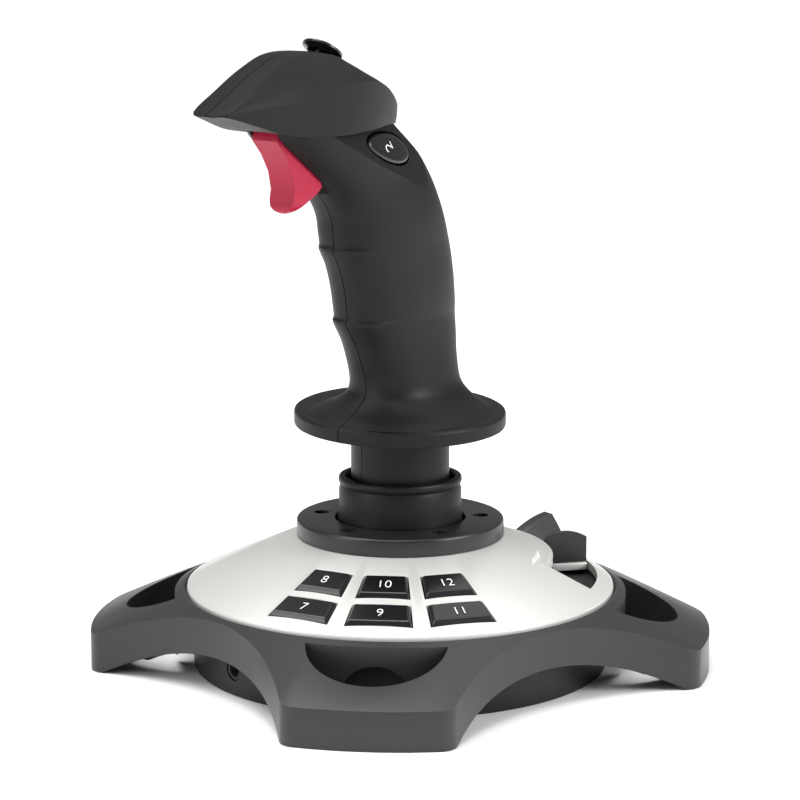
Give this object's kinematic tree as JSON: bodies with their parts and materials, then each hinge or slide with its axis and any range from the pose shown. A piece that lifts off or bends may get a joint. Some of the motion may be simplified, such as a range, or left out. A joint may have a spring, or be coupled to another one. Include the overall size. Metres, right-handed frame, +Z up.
{
  "type": "flight joystick",
  "caption": "Twist-grip flight joystick on a four-legged base with a silver cone cover, numbered keys, a throttle lever, a red trigger, a thumb button and a hat switch.",
  "frame": {"origin": "on the underside of the base, on the stick's axis, at table level", "axes": "+Z up along the stick at rest; +Y forward, away from the user; +X to the user's right"},
  "size_m": [0.175, 0.1784, 0.209],
  "materials": {
    "frame_plastic": "dark grey satin moulded plastic",
    "grip_plastic": "matte black moulded plastic",
    "dark_plastic": "plain black moulded plastic",
    "silver_paint": "satin silver painted plastic",
    "key_plastic": "glossy black plastic",
    "crimson": "crimson satin plastic",
    "rubber": "black moulded rubber",
    "steel": "bright zinc-plated steel",
    "board": "green circuit board",
    "acetal": "natural acetal plastic"
  },
  "bodies": {
    "base": {"base_frame": "frame_plastic", "bottom_housing": "dark_plastic", "cable_grommet": "rubber", "ballast_plate": "steel", "main_board": "board", "foot_pad_1": "rubber", "foot_pad_2": "rubber", "foot_pad_3": "rubber", "foot_pad_4": "rubber", "dome_cover": "silver_paint", "gimbal_collar": "frame_plastic", "collar_screw_1": "steel", "collar_screw_2": "steel", "collar_screw_3": "steel", "collar_screw_4": "steel", "collar_screw_5": "steel", "collar_screw_6": "steel", "key_mat": "rubber", "key_board": "board", "gimbal_post": "acetal", "pitch_sensor": "dark_plastic", "centring_spring": "steel", "throttle_track": "dark_plastic", "throttle_sensor": "dark_plastic"},
    "throttle": {"throttle_slider": "silver_paint", "throttle_grip": "frame_plastic"},
    "key_7": {"key_7": "key_plastic"},
    "key_8": {"key_8": "key_plastic"},
    "key_9": {"key_9": "key_plastic"},
    "key_10": {"key_10": "key_plastic"},
    "key_11": {"key_11": "key_plastic"},
    "key_12": {"key_12": "key_plastic"},
    "cross": {"gimbal_cross": "steel"},
    "stick": {"stick_fork": "acetal", "cuff": "grip_plastic", "neck": "grip_plastic", "roll_sensor": "dark_plastic", "twist_sensor": "dark_plastic"},
    "handle": {"handle_left_shell": "grip_plastic", "handle_right_shell": "grip_plastic", "twist_spindle": "acetal", "handle_board": "board", "handle_screw_1": "steel", "handle_screw_2": "steel", "handle_screw_3": "steel", "trigger_pin": "steel", "trigger_switch": "dark_plastic", "button_2_switch": "dark_plastic", "hat_switch": "dark_plastic"},
    "trigger": {"trigger": "crimson"},
    "button_2": {"button_2": "key_plastic"},
    "hat_rocker": {"hat_rocker": "acetal"},
    "hat_cap": {"hat_cap": "key_plastic"},
    "button_3": {"button_3": "key_plastic"},
    "button_4": {"button_4": "key_plastic"},
    "button_5": {"button_5": "key_plastic"},
    "button_6": {"button_6": "key_plastic"}
  },
  "joints": [
    {"name": "pitch", "type": "hinge", "parent": "base", "child": "cross", "pos_m": [0, 0, 0.04799], "axis": [1, 0, 0], "range_deg": [-11, 11], "stiffness_Nm_per_rad": 2, "deforming": ["centring_spring"]},
    {"name": "roll", "type": "hinge", "parent": "cross", "child": "stick", "pos_m": [0, 0, 0.04799], "axis": [0, 1, 0], "range_deg": [-11, 11], "stiffness_Nm_per_rad": 2},
    {"name": "twist", "type": "hinge", "parent": "stick", "child": "handle", "pos_m": [0, 0, 0.0785], "axis": [0, 0, 1], "range_deg": [-32, 8], "stiffness_Nm_per_rad": 0.5},
    {"name": "throttle", "type": "hinge", "parent": "base", "child": "throttle", "pos_m": [0, 0, 0.029], "axis": [0, 0, 1], "range_deg": [-31, 13]},
    {"name": "key_7_press", "type": "slide", "parent": "base", "child": "key_7", "axis": [0, 0, -1], "range_m": [0, 0.001], "stiffness_N_per_m": 400},
    {"name": "key_8_press", "type": "slide", "parent": "base", "child": "key_8", "axis": [0, 0, -1], "range_m": [0, 0.001], "stiffness_N_per_m": 400},
    {"name": "key_9_press", "type": "slide", "parent": "base", "child": "key_9", "axis": [0, 0, -1], "range_m": [0, 0.001], "stiffness_N_per_m": 400},
    {"name": "key_10_press", "type": "slide", "parent": "base", "child": "key_10", "axis": [0, 0, -1], "range_m": [0, 0.001], "stiffness_N_per_m": 400},
    {"name": "key_11_press", "type": "slide", "parent": "base", "child": "key_11", "axis": [0, 0, -1], "range_m": [0, 0.001], "stiffness_N_per_m": 400},
    {"name": "key_12_press", "type": "slide", "parent": "base", "child": "key_12", "axis": [0, 0, -1], "range_m": [0, 0.001], "stiffness_N_per_m": 400},
    {"name": "trigger_pull", "type": "hinge", "parent": "handle", "child": "trigger", "pos_m": [-0.01268, 0.05967, 0.182], "axis": [0.9781, 0.2079, 0], "range_deg": [-8, 0], "stiffness_Nm_per_rad": 0.3},
    {"name": "button_2_press", "type": "slide", "parent": "handle", "child": "button_2", "axis": [0.8541, 0.3635, -0.372], "range_m": [0, 0.0012], "stiffness_N_per_m": 400},
    {"name": "button_3_press", "type": "slide", "parent": "handle", "child": "button_3", "axis": [-0.1008, 0.4742, -0.8746], "range_m": [0, 0.0008], "stiffness_N_per_m": 400},
    {"name": "button_4_press", "type": "slide", "parent": "handle", "child": "button_4", "axis": [-0.1008, 0.4742, -0.8746], "range_m": [0, 0.0008], "stiffness_N_per_m": 400},
    {"name": "button_5_press", "type": "slide", "parent": "handle", "child": "button_5", "axis": [-0.1193, 0.561, -0.8192], "range_m": [0, 0.0008], "stiffness_N_per_m": 400},
    {"name": "button_6_press", "type": "slide", "parent": "handle", "child": "button_6", "axis": [-0.1193, 0.561, -0.8192], "range_m": [0, 0.0008], "stiffness_N_per_m": 400},
    {"name": "hat_pitch", "type": "hinge", "parent": "handle", "child": "hat_rocker", "pos_m": [-0.0088, 0.0414, 0.19861], "axis": [0.9781, 0.2079, 0], "range_deg": [-5, 5], "stiffness_Nm_per_rad": 0.1},
    {"name": "hat_roll", "type": "hinge", "parent": "hat_rocker", "child": "hat_cap", "pos_m": [-0.0088, 0.0414, 0.19861], "axis": [-0.1744, 0.8203, 0.5446], "range_deg": [-5, 5], "stiffness_Nm_per_rad": 0.1}
  ]
}
